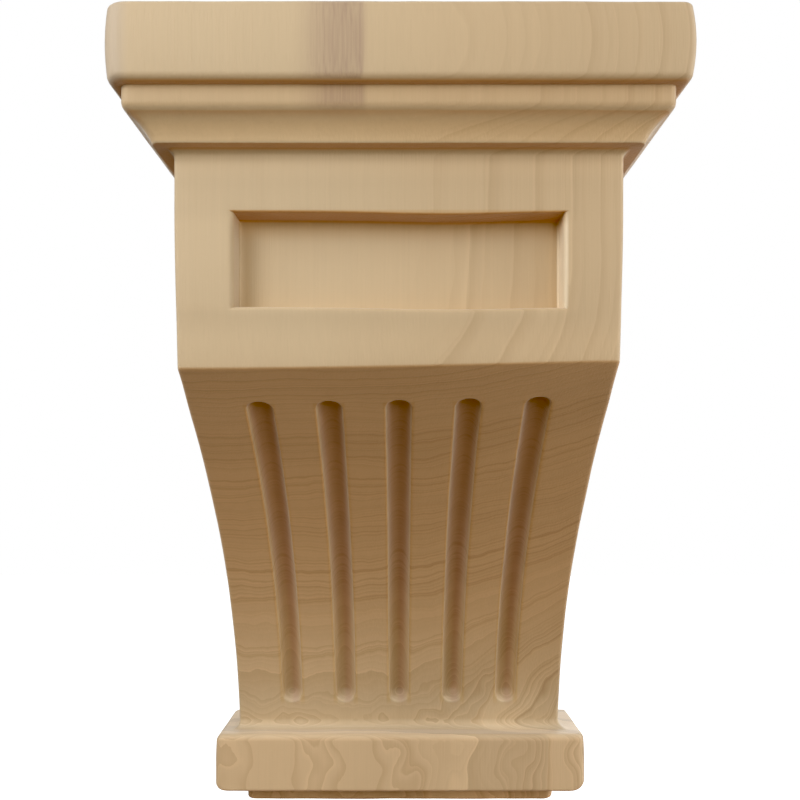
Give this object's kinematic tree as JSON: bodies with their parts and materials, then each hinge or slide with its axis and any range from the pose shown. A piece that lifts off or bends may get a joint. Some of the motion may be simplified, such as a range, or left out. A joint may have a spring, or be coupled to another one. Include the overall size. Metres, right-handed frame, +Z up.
{
  "type": "corbel",
  "caption": "Carved wooden corbel that fixes flat to a wall and carries a shelf or ledge: square cap, sunk panel, fluted concave face, plinth foot.",
  "frame": {"origin": "middle of the flat back face, where the corbel meets the wall, at half its height", "axes": "+Y into the wall, -Y out of the carved front, +Z up to the cap, +X to the right seen from the front"},
  "size_m": [0.1104, 0.1016, 0.1778],
  "materials": {
    "wood": "sanded, unfinished"
  },
  "bodies": {
    "root": {"corbel": "wood"}
  },
  "joints": []
}
